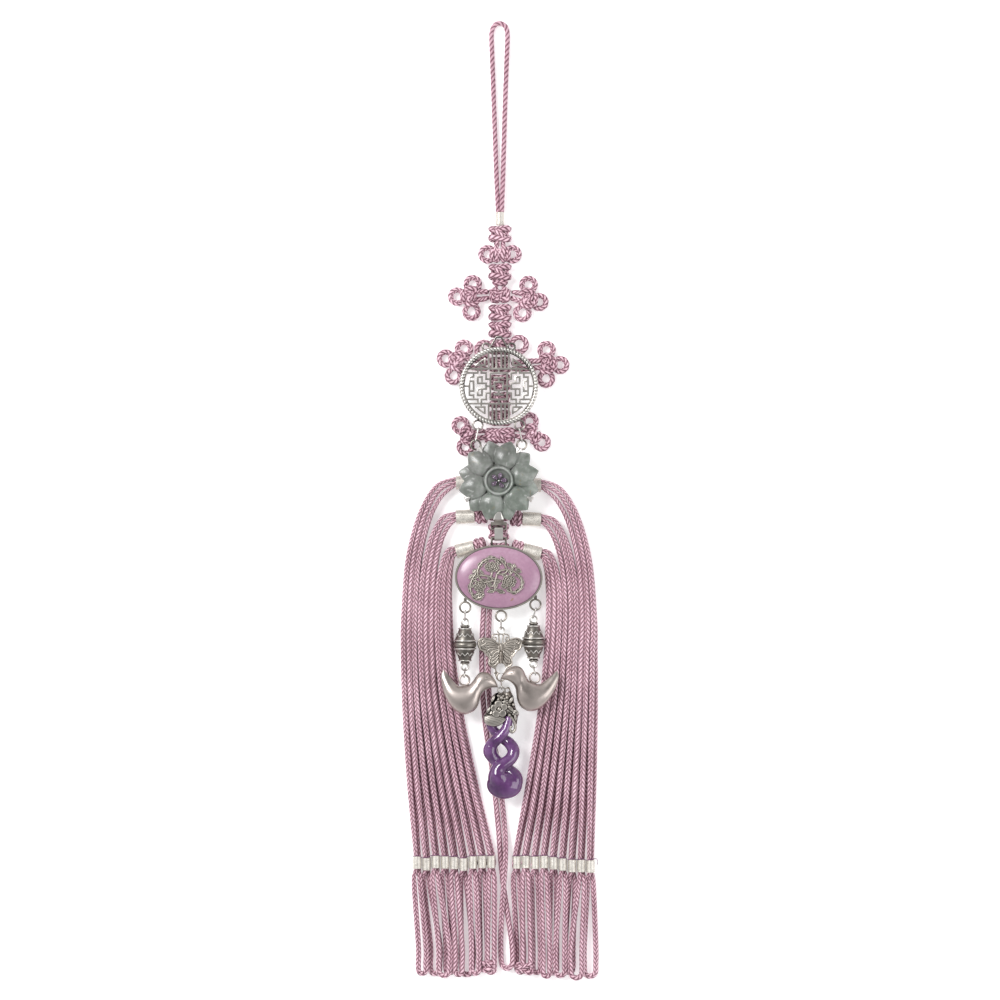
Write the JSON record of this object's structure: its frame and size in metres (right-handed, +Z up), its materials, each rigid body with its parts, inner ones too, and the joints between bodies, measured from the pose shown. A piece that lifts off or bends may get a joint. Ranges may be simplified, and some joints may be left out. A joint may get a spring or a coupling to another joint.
{
  "type": "norigae",
  "caption": "Pendant ornament of knotted cord with a silver fret roundel, a carved jade flower, an oval stone plaque, small silver drops and a long looped tassel, lying flat.",
  "frame": {"origin": "on the surface it lies on, below the middle of the piece without its hanging loop", "axes": "+X to the right seen from above, +Y towards the hanging loop, +Z up from the surface"},
  "size_m": [0.0786, 0.3833, 0.0129],
  "materials": {
    "hanging_cord": "twisted silk cord",
    "lilac_cord": "braided silk cord",
    "silver_thread": "wound silver thread",
    "silver": "satin silver",
    "dark_silver": "darkened silver with bright edges",
    "jade": "polished translucent jade",
    "pale_amethyst": "polished",
    "amethyst": "polished translucent",
    "lilac_stone": "high gloss"
  },
  "bodies": {
    "root": {"hanging_loop": "hanging_cord", "top_wrap": "silver_thread", "knot_a": "lilac_cord", "ear_knot": "lilac_cord", "knot_b": "lilac_cord", "cross_knot": "lilac_cord", "knot_c": "lilac_cord", "knot_d": "lilac_cord", "clover_left": "lilac_cord", "clover_right": "lilac_cord", "back_knot": "lilac_cord", "clover_upper_left": "lilac_cord", "clover_upper_right": "lilac_cord", "clover_lower_left": "lilac_cord", "clover_lower_right": "lilac_cord", "cord_column": "lilac_cord", "bundle_left_1": "lilac_cord", "bundle_left_2": "lilac_cord", "bundle_left_3": "lilac_cord", "bundle_right_1": "lilac_cord", "bundle_right_2": "lilac_cord", "bundle_right_3": "lilac_cord", "wrap_left_1": "silver_thread", "wrap_left_2": "silver_thread", "wrap_left_3": "silver_thread", "wrap_right_1": "silver_thread", "wrap_right_2": "silver_thread", "wrap_right_3": "silver_thread", "centre_loop": "lilac_cord", "bands_left": "silver_thread", "bands_right": "silver_thread", "roundel": "silver", "roundel_link_left": "silver", "roundel_link_right": "silver", "jade_mount": "silver", "jade_flower": "jade", "flower_centre": "pale_amethyst", "strap_link": "silver", "plaque_bezel": "silver", "plaque": "lilac_stone", "plaque_applique": "dark_silver", "lantern_link_left": "silver", "lantern_left": "dark_silver", "bird_link_left": "silver", "bird_left": "silver", "lantern_link_right": "silver", "lantern_right": "dark_silver", "bird_link_right": "silver", "bird_right": "silver", "butterfly_link": "silver", "butterfly": "dark_silver", "cap_link": "silver", "cap": "dark_silver", "amethyst": "amethyst"}
  },
  "joints": []
}
